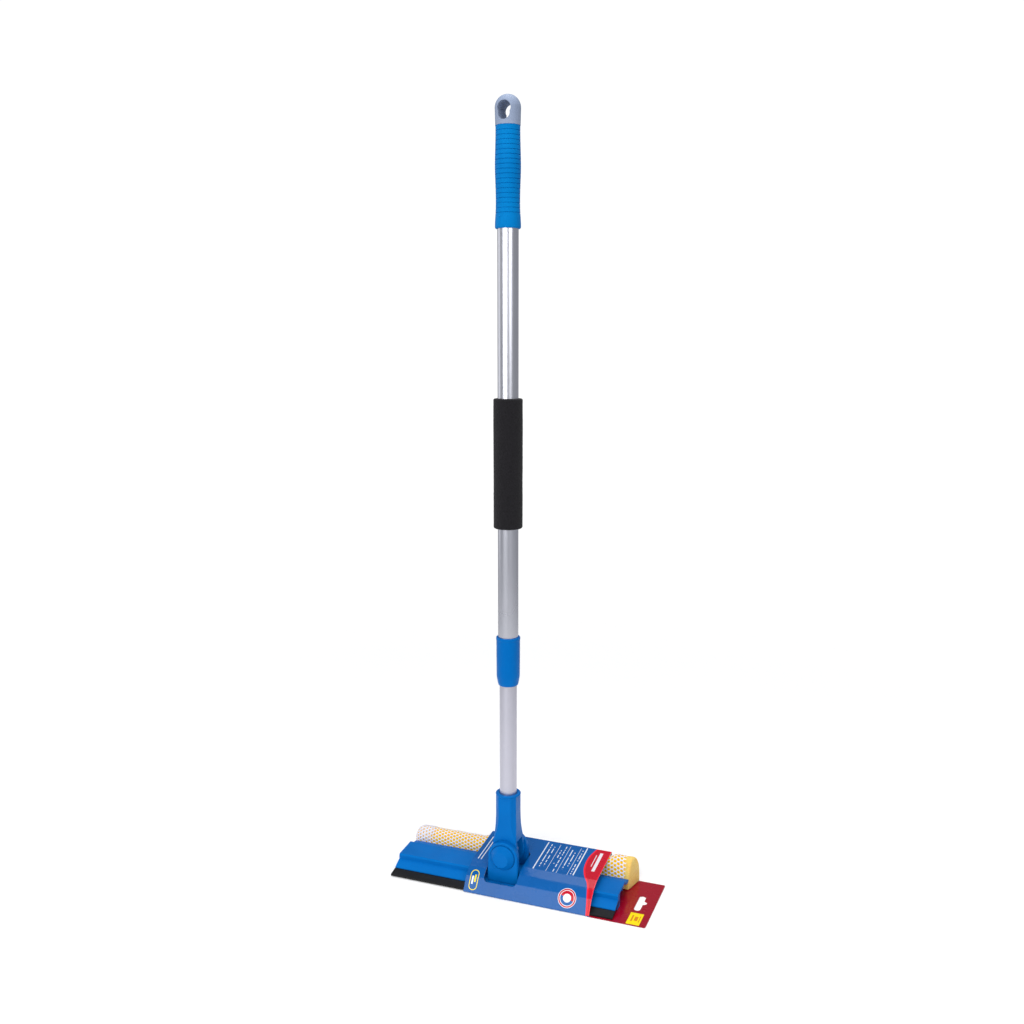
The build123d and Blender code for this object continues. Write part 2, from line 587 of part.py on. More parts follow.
# Handle grip: a hand-shaped sleeve with rib grooves above a plain flared end.
GRIP_STATIONS = [
    (12.75, GRIP_Z[0] + 1.2), (12.7, 690.0), (12.1, 700.0), (11.85, 712.0), (12.2, 727.0),
    (12.65, 741.0), (12.4, 757.0), (12.05, 770.0), (12.0, GRIP_Z[1]),
]
GRIP_BORE = 10.6
side = Spline(*GRIP_STATIONS)
foot = Polyline(
    GRIP_STATIONS[0], (12.1, GRIP_Z[0]), (GRIP_BORE, GRIP_Z[0]), (GRIP_BORE, GRIP_Z[1]),
    GRIP_STATIONS[-1],
)
grip = revolve(Plane.XZ * make_face(side + foot), Axis.Z)
GROOVE_DEPTH = 0.45
GROOVE_WIDTH = 1.3


def grip_radius(z):
    """Radius of the grip's side at height z, between its stations."""
    for (r0, z0), (r1, z1) in zip(GRIP_STATIONS[:-1], GRIP_STATIONS[1:]):
        if z0 <= z <= z1:
            return r0 + (r1 - r0) * (z - z0) / (z1 - z0)
    return GRIP_STATIONS[-1][0]


for k in range(RIBS):
    z = RIB_TOP_Z - k * RIB_PITCH
    r = grip_radius(z)
    grip -= lathe([
        (r - GROOVE_DEPTH, z - 0.2), (r + 0.6, z - GROOVE_WIDTH / 2),
        (r + 0.6, z + GROOVE_WIDTH / 2), (r - GROOVE_DEPTH, z + 0.2),
    ])
# Moulding-gate nub low on the front.
NUB_ANGLE = math.radians(-109)
NUB_Z = 695.6
NUB_R = 0.9
nub_r = grip_radius(NUB_Z)
grip += Pos(nub_r * math.cos(NUB_ANGLE), nub_r * math.sin(NUB_ANGLE), NUB_Z) * Sphere(NUB_R)
grip -= rod_z(GRIP_BORE, GRIP_Z[0] - PAST, GRIP_Z[1] + PAST)
write("handle_grip", grip)

# Hanging cap: a bullet-shaped end with an egg-shaped hole from front to back and a plug below.
DOME_Z = TOTAL_HEIGHT - CAP_R + 0.2
DIAGONAL = math.sin(math.radians(45))
cap_side = Polyline((0, GRIP_Z[1]), (12.25, GRIP_Z[1]), (CAP_R, DOME_Z))
dome = ThreePointArc(
    (CAP_R, DOME_Z),
    (CAP_R * DIAGONAL, DOME_Z + (TOTAL_HEIGHT - DOME_Z) * DIAGONAL),
    (0, TOTAL_HEIGHT),
)
cap_outline = cap_side + dome + Line((0, TOTAL_HEIGHT), (0, GRIP_Z[1]))
cap = revolve(Plane.XZ * make_face(cap_outline), Axis.Z)
HOLE_TOP = (6.7, 796.0)    # radius and height of the hole's upper end
HOLE_LOW = (5.9, 791.0)
through_cap = (-CAP_R - PAST, CAP_R + PAST)
hole = rod_y(HOLE_TOP[0], *through_cap, x=0.2, z=HOLE_TOP[1])
hole += rod_y(HOLE_LOW[0], *through_cap, x=0.1, z=HOLE_LOW[1])
cap -= hole
PLUG_R = UPPER_TUBE_R - TUBE_WALL - 0.02
cap += rod_z(UPPER_TUBE_R, UPPER_TUBE_Z[1] + 0.1, GRIP_Z[1])
PLUG_LOW_Z = 746.0
PLUG_FLUTE_HALF = 1.5
flute = block(-PLUG_FLUTE_HALF, PLUG_FLUTE_HALF, 4.0, 12.0, PLUG_LOW_Z - PAST, 771.0)
plug = rod_z(PLUG_R, PLUG_LOW_Z, UPPER_TUBE_Z[1] + 0.2)
for angle in (0, 90, 180, 270):
    plug -= Rot(0, 0, angle) * flute
cap += plug
write("hanging_cap", cap)
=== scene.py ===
import json
import math

import bmesh
import bpy
import numpy as np
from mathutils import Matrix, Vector, noise


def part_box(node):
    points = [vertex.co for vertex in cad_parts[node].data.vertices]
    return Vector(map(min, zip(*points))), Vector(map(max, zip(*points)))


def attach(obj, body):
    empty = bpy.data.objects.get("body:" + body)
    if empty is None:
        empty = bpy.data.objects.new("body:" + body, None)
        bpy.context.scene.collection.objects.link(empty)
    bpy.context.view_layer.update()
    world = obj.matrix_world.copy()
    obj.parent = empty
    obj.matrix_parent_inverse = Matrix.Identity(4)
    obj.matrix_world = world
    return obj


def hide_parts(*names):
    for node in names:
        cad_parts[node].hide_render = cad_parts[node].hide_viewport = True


# A telescopic window washer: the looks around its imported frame. Metres, +Z up the pole.

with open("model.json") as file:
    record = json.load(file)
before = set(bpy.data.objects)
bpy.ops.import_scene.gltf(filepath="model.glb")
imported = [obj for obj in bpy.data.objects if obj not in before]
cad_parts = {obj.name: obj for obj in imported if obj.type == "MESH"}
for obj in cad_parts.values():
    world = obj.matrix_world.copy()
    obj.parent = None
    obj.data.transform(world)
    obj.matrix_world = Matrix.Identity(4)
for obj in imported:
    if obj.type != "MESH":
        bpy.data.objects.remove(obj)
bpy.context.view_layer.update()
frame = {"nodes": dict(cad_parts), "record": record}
NODES = frame["nodes"]
MM = 0.001


# ---------------------------------------------------------------- node graphs
class Graph:
    """A material's node tree, with short calls for what the finishes below are made of."""

    def __init__(self, name):
        self.material = bpy.data.materials.new(name)
        self.material.use_nodes = True
        self.tree = self.material.node_tree
        self.shader = self.tree.nodes["Principled BSDF"]
        self.place = self.add("ShaderNodeTexCoord").outputs["Object"]

    def add(self, kind, **settings):
        made = self.tree.nodes.new(kind)
        for key, value in settings.items():
            setattr(made, key, value)
        return made

    def feed(self, target, value):
        """Links an output to a socket, or sets the socket to a constant."""
        if isinstance(value, bpy.types.NodeSocket):
            self.tree.links.new(value, target)
        else:
            target.default_value = value

    def math(self, operation, *values):
        made = self.add("ShaderNodeMath", operation=operation)
        for socket, value in zip(made.inputs, values):
            self.feed(socket, value)
        return made.outputs[0]

    def axes(self):
        """The surface point's three coordinates, in millimetres."""
        split = self.add("ShaderNodeSeparateXYZ")
        self.feed(split.inputs[0], self.place)
        return [self.math("MULTIPLY", socket, 1 / MM) for socket in split.outputs]

    def stretched(self, scale):
        """Object coordinates scaled apart along each axis."""
        mapping = self.add("ShaderNodeMapping")
        self.feed(mapping.inputs["Vector"], self.place)
        mapping.inputs["Scale"].default_value = scale
        return mapping.outputs[0]

    def noise(self, scale, detail=2.0, place=None, roughness=0.5):
        made = self.add("ShaderNodeTexNoise")
        self.feed(made.inputs["Vector"], place or self.place)
        made.inputs["Scale"].default_value = scale
        made.inputs["Detail"].default_value = detail
        made.inputs["Roughness"].default_value = roughness
        return made.outputs["Fac"]

    def cells(self, scale):
        """Distance from the middle of the nearest of many small cells."""
        made = self.add("ShaderNodeTexVoronoi")
        self.feed(made.inputs["Vector"], self.place)
        made.inputs["Scale"].default_value = scale
        return made.outputs["Distance"]

    def ramp(self, value, low, high, to_low=0.0, to_high=1.0):
        """The value's run from low to high, stretched to run from to_low to to_high."""
        made = self.add("ShaderNodeMapRange")
        for socket, number in zip(made.inputs, (value, low, high, to_low, to_high)):
            self.feed(socket, number)
        return made.outputs[0]

    def mix(self, amount, first, second):
        """A colour between two colours, each an output or an (r, g, b)."""
        made = self.add("ShaderNodeMix", data_type="RGBA")
        self.feed(made.inputs["Factor"], amount)
        for socket, value in ((made.inputs["A"], first), (made.inputs["B"], second)):
            self.feed(socket, value if isinstance(value, bpy.types.NodeSocket) else (*value, 1.0))
        return made.outputs["Result"]

    def bump(self, height, depth, below=None):
        """A bump of that depth in metres, on top of another one."""
        made = self.add("ShaderNodeBump")
        made.inputs["Strength"].default_value = 1.0
        made.inputs["Distance"].default_value = depth
        self.feed(made.inputs["Height"], height)
        if below is not None:
            self.feed(made.inputs["Normal"], below)
        return made.outputs[0]

    def soft_edges(self, radius):
        """A normal that rounds the piece's edges by that radius."""
        made = self.add("ShaderNodeBevel", samples=4)
        made.inputs["Radius"].default_value = radius
        return made.outputs[0]

    def finish(self, colour, rough, normal, **sockets):
        """Connects the shader; other sockets are named with _ for a space."""
        self.feed(self.shader.inputs["Base Color"], colour)
        self.feed(self.shader.inputs["Roughness"], rough)
        self.feed(self.shader.inputs["Normal"], normal)
        for name, value in sockets.items():
            self.shader.inputs[name.replace("_", " ")].default_value = value
        return self.material


def rgb(red, green, blue):
    """A display colour of 0 to 255 as the linear one that the shader takes."""
    return tuple(
        c / 12.92 if c <= 0.04045 else ((c + 0.055) / 1.055) ** 2.4
        for c in (red / 255, green / 255, blue / 255)
    )


# ---------------------------------------------------------------- finishes
def moulded_plastic(name, colour, shade, rough, grain, depth, sheen=(1.0, 1.0, 1.0)):
    """Moulded plastic: eroded mould grain, faint flow marks, and edges that catch light."""
    g = Graph(name)
    clouds = g.noise(38.0, 3.0)
    flow = g.noise(6.0, 2.0, g.stretched((1.0, 3.0, 0.6)))
    tint = g.mix(g.ramp(clouds, 0.3, 0.7), shade, colour)
    tint = g.mix(g.ramp(flow, 0.55, 0.8, 0.0, 0.25), tint, colour)
    fine = g.noise(grain, 2.0, roughness=0.6)
    skin = g.ramp(g.noise(grain * 0.35, 3.0), 0.35, 0.7)
    height = g.math("ADD", fine, g.math("MULTIPLY", skin, 0.6))
    normal = g.bump(height, depth, g.soft_edges(0.35 * MM))
    gloss = g.ramp(g.noise(55.0, 3.0), 0.3, 0.7, rough - 0.05, rough + 0.07)
    return g.finish(tint, gloss, normal, Specular_IOR_Level=0.22, Specular_Tint=(*sheen, 1.0))


def drawn_aluminium(name, colour, rough, line_depth):
    """Drawn tube: fine lines along the pole, faint rings of haze, and small scratches."""
    g = Graph(name)
    lines = g.noise(1.0, 3.0, g.stretched((2600.0, 2600.0, 7.0)), roughness=0.7)
    haze = g.noise(14.0, 3.0, g.stretched((1.0, 1.0, 0.4)))
    tint = g.mix(g.ramp(haze, 0.3, 0.7), [c * 0.93 for c in colour], colour)
    tint = g.mix(g.ramp(lines, 0.35, 0.65, 0.0, 0.35), tint, [c * 0.86 for c in colour])
    gloss = g.ramp(haze, 0.3, 0.7, rough - 0.03, rough + 0.05)
    return g.finish(tint, gloss, g.bump(lines, line_depth), Metallic=1.0)


def zinc(name):
    """Zinc-plated steel: small spangles of slightly uneven gloss."""
    g = Graph(name)
    spangle = g.cells(900.0)
    tint = g.mix(g.ramp(spangle, 0.0, 0.8), rgb(176, 178, 184), rgb(206, 206, 208))
    normal = g.bump(g.noise(2600.0), 0.02 * MM, g.soft_edges(0.15 * MM))
    return g.finish(tint, g.ramp(spangle, 0.0, 1.0, 0.26, 0.40), normal, Metallic=1.0)


def blade_rubber(name):
    """Black rubber: matte, with the faint lines of its extrusion along the head."""
    g = Graph(name)
    lines = g.noise(1.0, 3.0, g.stretched((9.0, 1500.0, 1500.0)))
    dust = g.ramp(g.noise(160.0, 4.0), 0.52, 0.80)
    tint = g.mix(dust, rgb(10, 10, 13), rgb(23, 23, 27))
    height = g.math("ADD", lines, g.noise(2400.0, 2.0))
    normal = g.bump(height, 0.03 * MM, g.soft_edges(0.2 * MM))
    return g.finish(tint, g.ramp(dust, 0.0, 1.0, 0.42, 0.58), normal, Specular_IOR_Level=0.25)


def closed_cell_foam(name):
    """Black grip foam: fine closed cells, dull, with a few larger pores; painted shade darkens the
    hollows between cells and the pores.
    """
    g = Graph(name)
    cells = g.cells(1150.0)
    pores = g.ramp(g.cells(420.0), 0.0, 0.32, 1.0, 0.0)
    # Colour darkens towards the cells' edges, where the bump is lowest, and goes nearly black in the
    # pores: painted shade in the hollows. A slow noise varies its strength.
    tone = g.math("MULTIPLY", g.ramp(cells, 0.0, 0.7), g.ramp(g.noise(240.0, 3.0), 0.2, 0.8, 0.6, 1.0))
    tint = g.mix(tone, rgb(29, 27, 32), rgb(15, 14, 17))
    tint = g.mix(g.math("MULTIPLY", pores, 0.6), tint, rgb(7, 7, 9))
    height = g.math("SUBTRACT", g.ramp(cells, 0.0, 0.7, 1.0, 0.0), g.math("MULTIPLY", pores, 1.4))
    return g.finish(
        tint, g.ramp(cells, 0.0, 0.7, 0.80, 0.95), g.bump(height, 0.16 * MM),
        Specular_IOR_Level=0.25, Sheen_Weight=0.06, Sheen_Roughness=0.6,
    )


CUT_BAND = (117.5, 121.5)     # mm along the head over which the foam's skin turns pale


def sponge_foam(name):
    """Open-cell sponge: two sizes of pores, painted shade inside each pore, paler cut faces."""
    g = Graph(name)
    small = g.ramp(g.cells(1300.0), 0.05, 0.50)
    large = g.ramp(g.cells(520.0), 0.08, 0.42)
    pores_and_painted_shade = g.math("MULTIPLY", small, g.ramp(large, 0.0, 1.0, 0.45, 1.0))
    # The skin and cut colours both darken towards each pore's middle, where the bump is lowest: painted
    # shade in the pores.
    skin = g.mix(pores_and_painted_shade, rgb(246, 166, 0), rgb(255, 198, 0))
    cut = g.mix(pores_and_painted_shade, rgb(228, 186, 92), rgb(248, 222, 142))
    facing = g.add("ShaderNodeNewGeometry").outputs["Normal"]
    split = g.add("ShaderNodeSeparateXYZ")
    g.feed(split.inputs[0], facing)
    end_face = g.ramp(g.math("ABSOLUTE", split.outputs[0]), 0.55, 0.90)
    end_face = g.math("MAXIMUM", end_face, g.ramp(g.axes()[0], *CUT_BAND, 0.0, 0.8))
    tint = g.mix(end_face, skin, cut)
    tint = g.mix(g.ramp(g.noise(70.0, 3.0), 0.35, 0.75, 0.0, 0.30), tint, rgb(248, 186, 14))
    return g.finish(
        tint, 0.88, g.bump(pores_and_painted_shade, 0.22 * MM),
        Specular_IOR_Level=0.15, Subsurface_Weight=0.25, Subsurface_Scale=0.004,
    )


def knitted_net(name):
    """White net: fine filaments along the strands, slightly glossy."""
    g = Graph(name)
    threads = g.noise(2300.0, 2.0, g.stretched((1.0, 0.7, 0.7)))
    tint = g.mix(g.ramp(threads, 0.3, 0.7), rgb(226, 224, 240), rgb(250, 248, 255))
    return g.finish(tint, 0.62, g.bump(threads, 0.08 * MM), Sheen_Weight=0.3, Sheen_Roughness=0.4)


# ---------------------------------------------------------------- the card's print
CARD_BLUE = rgb(0, 90, 164)
CARD_RED = rgb(196, 10, 40)
RIBBON_EDGE = rgb(240, 26, 48)
TAB_RED = rgb(158, 4, 34)
WHITE_INK = rgb(240, 243, 248)
YELLOW_INK = rgb(255, 230, 0)
BARE_CARD = rgb(220, 214, 204)


FRONT_PANEL = (14.5, 9.5)     # mm that the front panel rises, and runs back
PRINT_EDGE = 0.06             # mm, half the width of an ink edge
FLAT_TOP = 0.6                # mm, above this is the wrap, below it the flat card
SLEEVE_END = 101.2            # mm, the wrap's right end
BADGE = (75.3, -5.2)          # round badge: x, and distance up the front panel
OVAL = (-28.7, -5.1)
THICK_LINES = ((30.2, -6.0, 46.5), (74.3, -5.0, 48.0))
THIN_LINES = (44.5, 56.0, 68.0)
PRINT_ROWS = (35.2, 39.4, 48.4, 52.0, 60.0, 64.0, 71.2)
LEFT_LINES = ((-32.5, -6.3, 38.0), (-29.0, -6.4, 36.0))
RIBBON_Y = (-36.0, 55.0)      # the depths and the widths that the ribbon's edge runs between
RIBBON_X = (75.0, 98.0)
RIBBON_WAVE = ((-25.0, 95.4), (-14.0, 92.4), (0.0, 84.8), (16.0, 80.6), (30.0, 80.2), (43.0, 82.6))
WINDOW = ((-21.0, 21.0), (-26.9, 20.9), 6.0)    # the swivel's cut-out: x, y, and lowest z
CARD_MIDDLE = 12.0            # mm, a line inside the wrap, in y and in z


class Print(Graph):
    """Masks for the card's print. x runs along the head, up runs up the front panel."""

    def __init__(self, name):
        super().__init__(name)
        self.x, self.y, self.z = self.axes()
        slope = math.atan2(*FRONT_PANEL)
        self.up = self.math(
            "ADD",
            self.math("MULTIPLY", self.y, math.cos(slope)),
            self.math("MULTIPLY", self.z, math.sin(slope)),
        )

    def inside(self, value, low, high):
        """1 between low and high, in millimetres, with a print-sharp edge."""
        middle, half = (low + high) / 2, (high - low) / 2
        away = self.math("ABSOLUTE", self.math("SUBTRACT", value, middle))
        return self.ramp(away, half - PRINT_EDGE, half + PRINT_EDGE, 1.0, 0.0)

    def bar(self, x, half_width, y0, y1):
        """A plain straight bar across the head."""
        return self.both(self.inside(self.x, x - half_width, x + half_width), self.inside(self.y, y0, y1))

    def box(self, x0, x1, y0, y1):
        return self.both(self.inside(self.x, x0, x1), self.inside(self.y, y0, y1))

    def both(self, *masks):
        made = masks[0]
        for mask in masks[1:]:
            made = self.math("MULTIPLY", made, mask)
        return made

    def any(self, *masks):
        made = masks[0]
        for mask in masks[1:]:
            made = self.math("MAXIMUM", made, mask)
        return made

    def pill_distance(self, x, up, half_length):
        """Distance from a line of that half length, up the panel through (x, up)."""
        dx = self.math("SUBTRACT", self.x, x)
        du = self.math("ABSOLUTE", self.math("SUBTRACT", self.up, up))
        beyond = self.math("MAXIMUM", self.math("SUBTRACT", du, half_length), 0.0)
        square = self.math("ADD", self.math("MULTIPLY", dx, dx), self.math("MULTIPLY", beyond, beyond))
        return self.math("SQRT", square)

    def dashes(self, x, half_width, y0, y1, length, seed):
        """A row of plain dashes of uneven length along Y, standing for a row of small print."""
        cell = self.math("FLOOR", self.math("DIVIDE", self.y, length))
        white = self.add("ShaderNodeTexWhiteNoise", noise_dimensions="1D")
        self.feed(white.inputs["W"], self.math("ADD", cell, seed))
        inked = self.math("GREATER_THAN", white.outputs["Value"], 0.28)
        return self.both(self.bar(x, half_width, y0, y1), inked)


def ribbon_mask(g, shift=0.0):
    """The red ribbon towards the wrap's right end; its left edge is a long soft wave."""
    (y0, y1), (x0, x1) = RIBBON_Y, RIBBON_X
    curve = g.add("ShaderNodeFloatCurve")
    g.feed(curve.inputs["Value"], g.ramp(g.y, y0, y1))
    points = curve.mapping.curves[0].points
    points[0].location = (0.0, 0.98)
    points[1].location = (1.0, 0.52)
    for y, x in RIBBON_WAVE:
        points.new((y - y0) / (y1 - y0), (x - x0) / (x1 - x0))
    curve.mapping.update()
    edge = g.math("ADD", g.math("MULTIPLY", curve.outputs[0], x1 - x0), x0 + shift)
    past = g.ramp(g.math("SUBTRACT", g.x, edge), -0.08, 0.08)
    on_wrap = g.math("GREATER_THAN", g.z, FLAT_TOP)
    return g.both(past, g.math("LESS_THAN", g.x, SLEEVE_END), on_wrap)


def top_print(g, ink):
    """White bars, thin rules and rows of dashes on the wrap's top."""
    on_top = g.both(g.math("GREATER_THAN", g.y, -12.0), g.math("GREATER_THAN", g.z, 20.0))
    lines = [g.bar(x, 0.62, y0, y1) for x, y0, y1 in THICK_LINES]
    lines += [g.bar(x, 0.2, -6.0, 45.5) for x in THIN_LINES]
    lines += [g.bar(x, 0.5, y0, y1) for x, y0, y1 in LEFT_LINES]
    for k, x in enumerate(PRINT_ROWS):
        shorter = 7.0 * (k % 3)
        length = 1.9 + 0.35 * (k % 3)
        lines.append(g.dashes(x, 0.48, -5.0 + shorter, 44.0 - 0.6 * shorter, length, 17.0 * k))
    lines.append(g.box(90.2, 93.6, 8.0, 43.0))
    lines.append(g.box(87.2, 88.0, 16.0, 38.0))
    return g.mix(g.math("MULTIPLY", g.both(on_top, g.any(*lines)), 0.88), ink, WHITE_INK)


def front_badges(g, ink):
    """A round badge of plain rings and a two-striped pill on the wrap's front panel."""
    on_front = g.both(g.math("LESS_THAN", g.y, -14.0), g.math("GREATER_THAN", g.z, 0.7))
    ring = g.pill_distance(*BADGE, 0.0)
    upper_half = g.ramp(g.math("ADD", g.up, g.math("MULTIPLY", g.x, 0.35)), 20.9, 21.1)
    halves = g.mix(upper_half, CARD_BLUE, CARD_RED)
    rings = ((9.8, WHITE_INK), (9.3, CARD_RED), (7.9, WHITE_INK), (7.3, halves), (4.3, WHITE_INK))
    for radius, colour in rings:
        ink = g.mix(g.both(on_front, g.math("LESS_THAN", ring, radius)), ink, colour)
    x, up = OVAL
    ink = g.mix(g.both(on_front, g.inside(g.pill_distance(x, up, 5.9), 3.9, 4.7)), ink, YELLOW_INK)
    white = g.both(g.inside(g.x, x - 2.4, x - 0.6), g.inside(g.up, up - 4.5, up + 4.0))
    ink = g.mix(g.both(on_front, white), ink, WHITE_INK)
    yellow = g.both(g.inside(g.x, x + 0.4, x + 2.2), g.inside(g.up, up - 2.0, up + 5.5))
    return g.mix(g.both(on_front, yellow), ink, YELLOW_INK)


def tab_patch(g, ink):
    """A yellow patch with three plain bars on the tab's front corner."""
    flat_part = g.math("LESS_THAN", g.z, FLAT_TOP)
    ink = g.mix(g.both(flat_part, g.box(138.9, 152.6, -33.2, -10.7)), ink, YELLOW_INK)
    bars = (
        g.box(142.0, 143.6, -27.5, -15.5),
        g.box(145.2, 148.6, -25.5, -17.5),
        g.box(150.0, 150.8, -27.5, -15.5),
    )
    marks = g.both(flat_part, g.any(*bars))
    return g.mix(g.math("MULTIPLY", marks, 0.75), ink, rgb(206, 70, 20))


def bare_card(g, ink):
    """Bare card inside the wrap and on its cut edges: it is printed outside only."""
    normal = g.add("ShaderNodeSeparateXYZ")
    g.feed(normal.inputs[0], g.add("ShaderNodeNewGeometry").outputs["True Normal"])
    outward = g.math(
        "ADD",
        g.math("MULTIPLY", g.math("SUBTRACT", g.y, CARD_MIDDLE), normal.outputs[1]),
        g.math("MULTIPLY", g.math("SUBTRACT", g.z, CARD_MIDDLE), normal.outputs[2]),
    )
    inner = g.both(g.math("LESS_THAN", outward, 0.0), g.math("GREATER_THAN", g.z, FLAT_TOP))
    end_cut = g.math("GREATER_THAN", g.math("ABSOLUTE", normal.outputs[0]), 0.8)
    across, deep, above = WINDOW
    near_window = g.both(g.inside(g.x, *across), g.inside(g.y, *deep), g.math("GREATER_THAN", g.z, above))
    rim = g.both(near_window, g.math("GREATER_THAN", g.math("ABSOLUTE", normal.outputs[1]), 0.93))
    fibres = g.mix(g.ramp(g.noise(900.0, 3.0), 0.3, 0.7), [c * 0.86 for c in BARE_CARD], BARE_CARD)
    return g.mix(g.any(inner, end_cut, rim), ink, fibres)


def printed_card(name):
    """Glossy printed card: blue wrap, red ribbon and tab, plain bars and badges, bare edges."""
    g = Print(name)
    ink = g.mix(g.ramp(g.noise(30.0, 3.0), 0.3, 0.7), [c * 0.90 for c in CARD_BLUE], CARD_BLUE)
    ink = g.mix(ribbon_mask(g), ink, RIBBON_EDGE)
    ink = g.mix(g.both(ribbon_mask(g, 1.9), g.math("LESS_THAN", g.x, 100.0)), ink, CARD_RED)
    ink = g.mix(g.math("GREATER_THAN", g.x, SLEEVE_END), ink, TAB_RED)
    ink = bare_card(g, tab_patch(g, front_badges(g, top_print(g, ink))))
    paper = g.noise(1500.0, 2.0)
    waves = g.bump(g.noise(22.0, 2.0), 0.9 * MM)
    gloss = g.ramp(g.noise(60.0, 3.0), 0.3, 0.7, 0.22, 0.32)
    return g.finish(
        ink, gloss, g.bump(paper, 0.012 * MM, waves),
        Coat_Weight=0.35, Coat_Roughness=0.12, Specular_IOR_Level=0.15,
    )


BLUE = rgb(0, 107, 188)
BLUE_SHADE = rgb(0, 100, 179)
BLUE_SHEEN = (0.15, 0.62, 1.0)
GRIP_BLUE = rgb(0, 127, 202)
GRIP_SHADE = rgb(0, 119, 194)
GREY = rgb(152, 166, 192)
GREY_SHADE = rgb(144, 158, 184)
NATURAL = rgb(232, 232, 226)
NATURAL_SHADE = rgb(224, 224, 216)
FINE_GRAIN, COARSE_GRAIN = 2600.0, 1900.0
FINISHES = {
    "blue_plastic": moulded_plastic(
        "blue_plastic", BLUE, BLUE_SHADE, 0.40, FINE_GRAIN, 0.035 * MM, BLUE_SHEEN),
    "grip_blue": moulded_plastic(
        "grip_blue", GRIP_BLUE, GRIP_SHADE, 0.56, COARSE_GRAIN, 0.05 * MM, BLUE_SHEEN),
    "grey_plastic": moulded_plastic("grey_plastic", GREY, GREY_SHADE, 0.46, FINE_GRAIN, 0.035 * MM),
    "natural_plastic": moulded_plastic(
        "natural_plastic", NATURAL, NATURAL_SHADE, 0.38, FINE_GRAIN, 0.02 * MM),
    "black_rubber": blade_rubber("black_rubber"),
    "black_foam": closed_cell_foam("black_foam"),
    "yellow_foam": sponge_foam("yellow_foam"),
    "white_net": knitted_net("white_net"),
    "printed_card": printed_card("printed_card"),
    "bright_aluminium": drawn_aluminium("bright_aluminium", rgb(232, 233, 242), 0.27, 0.004 * MM),
    "satin_aluminium": drawn_aluminium("satin_aluminium", rgb(206, 205, 216), 0.44, 0.010 * MM),
    "zinc_steel": zinc("zinc_steel"),
}
for part in frame["record"]["subparts"]:
    NODES[part["node"]].data.materials.clear()
    NODES[part["node"]].data.materials.append(FINISHES[part["material_slot"]])


# ---------------------------------------------------------------- mesh helpers
def piece(name, points, faces, slot, body):
    """A new mesh piece in the row frame, with its finish, on its body."""
    mesh = bpy.data.meshes.new(name)
    mesh.from_pydata([tuple(p) for p in points], [], [tuple(int(i) for i in f) for f in faces])
    mesh.validate()
    mesh.shade_smooth()
    facing = bmesh.new()
    facing.from_mesh(mesh)
    bmesh.ops.recalc_face_normals(facing, faces=facing.faces)
    facing.to_mesh(mesh)
    facing.free()
    made = bpy.data.objects.new(name, mesh)
    bpy.context.scene.collection.objects.link(made)
    mesh.materials.append(FINISHES[slot])
    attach(made, body)
    return made


SPLINE_STEPS = 24             # points between two corners of a smooth loop


def even_loop(corners, count):
    """count points, evenly spaced along a closed smooth curve through the corners."""
    corners = np.array(corners, float)
    before, after = np.roll(corners, 1, 0), np.roll(corners, -1, 0)
    beyond = np.roll(corners, -2, 0)
    t = np.linspace(0, 1, SPLINE_STEPS, endpoint=False)[None, :, None]
    p0, p1, p2, p3 = (a[:, None, :] for a in (before, corners, after, beyond))
    curve = 0.5 * (
        2 * p1 + (p2 - p0) * t + (2 * p0 - 5 * p1 + 4 * p2 - p3) * t**2
        + (3 * p1 - p0 - 3 * p2 + p3) * t**3
    )
    curve = curve.reshape(-1, 2)
    closed = np.vstack([curve, curve[:1]])
    run = np.concatenate([[0], np.cumsum(np.linalg.norm(np.diff(closed, axis=0), axis=1))])
    want = np.linspace(0, run[-1], count, endpoint=False)
    return np.stack([np.interp(want, run, closed[:, k]) for k in (0, 1)], axis=1)


def smoothstep(x, low, high):
    """0 up to low, 1 from high on, and a smooth rise between."""
    t = np.clip((x - low) / (high - low), 0, 1)
    return t * t * (3 - 2 * t)


def tube_faces(rings, around):
    """Quads between successive rings of points."""
    faces = []
    for i in range(rings - 1):
        for j in range(around):
            k = (j + 1) % around
            faces.append((i * around + j, i * around + k, (i + 1) * around + k, (i + 1) * around + j))
    return faces


# ---------------------------------------------------------------- sponge and net
NET_LOW, NET_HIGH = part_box("sponge_net")

# Sections of the net's outside as (depth, height) in mm from the CAD net's lower front
# corner, from the clamp at the rail round the bottom, back, top and front.
UNDERSIDE = [(0.3, 5.1), (0.2, 1.5), (1.8, 0.1), (11.0, 0.0), (20.4, 0.1)]
FREE_LEFT = UNDERSIDE + [
    (23.4, 2.2), (22.9, 8.0), (21.9, 14.0), (20.2, 19.6), (16.6, 23.8), (12.0, 25.6),
    (7.4, 24.4), (4.0, 20.4), (2.1, 16.0), (1.7, 12.2), (0.5, 8.6),
]
FREE_RIGHT = UNDERSIDE + [
    (23.6, 1.6), (24.3, 8.0), (24.0, 15.0), (22.4, 22.0), (18.8, 28.4), (13.4, 31.6),
    (8.0, 30.4), (4.2, 25.0), (2.3, 18.0), (1.7, 12.4), (0.5, 8.6),
]
HELD = UNDERSIDE + [
    (22.6, 1.6), (21.8, 8.0), (20.6, 15.0), (19.2, 22.0), (16.8, 26.4), (12.4, 27.3),
    (8.0, 26.2), (4.4, 22.4), (2.3, 17.0), (1.7, 12.2), (0.5, 8.6),
]
AROUND = 240
GIRTH = 92.0                  # mm that the net's pattern is laid out on, before it fits a section
LEFT_LOOP, RIGHT_LOOP, HELD_LOOP = (even_loop(c, AROUND) for c in (FREE_LEFT, FREE_RIGHT, HELD))
CARD_X = (-38.0, 101.0)       # the wrap's two ends
FOLD_X = -105.5               # left of this the net's hem is folded back, so it lies double
CAP_X = -117.5                # where the left end starts to round off
CAP_R = 10.0
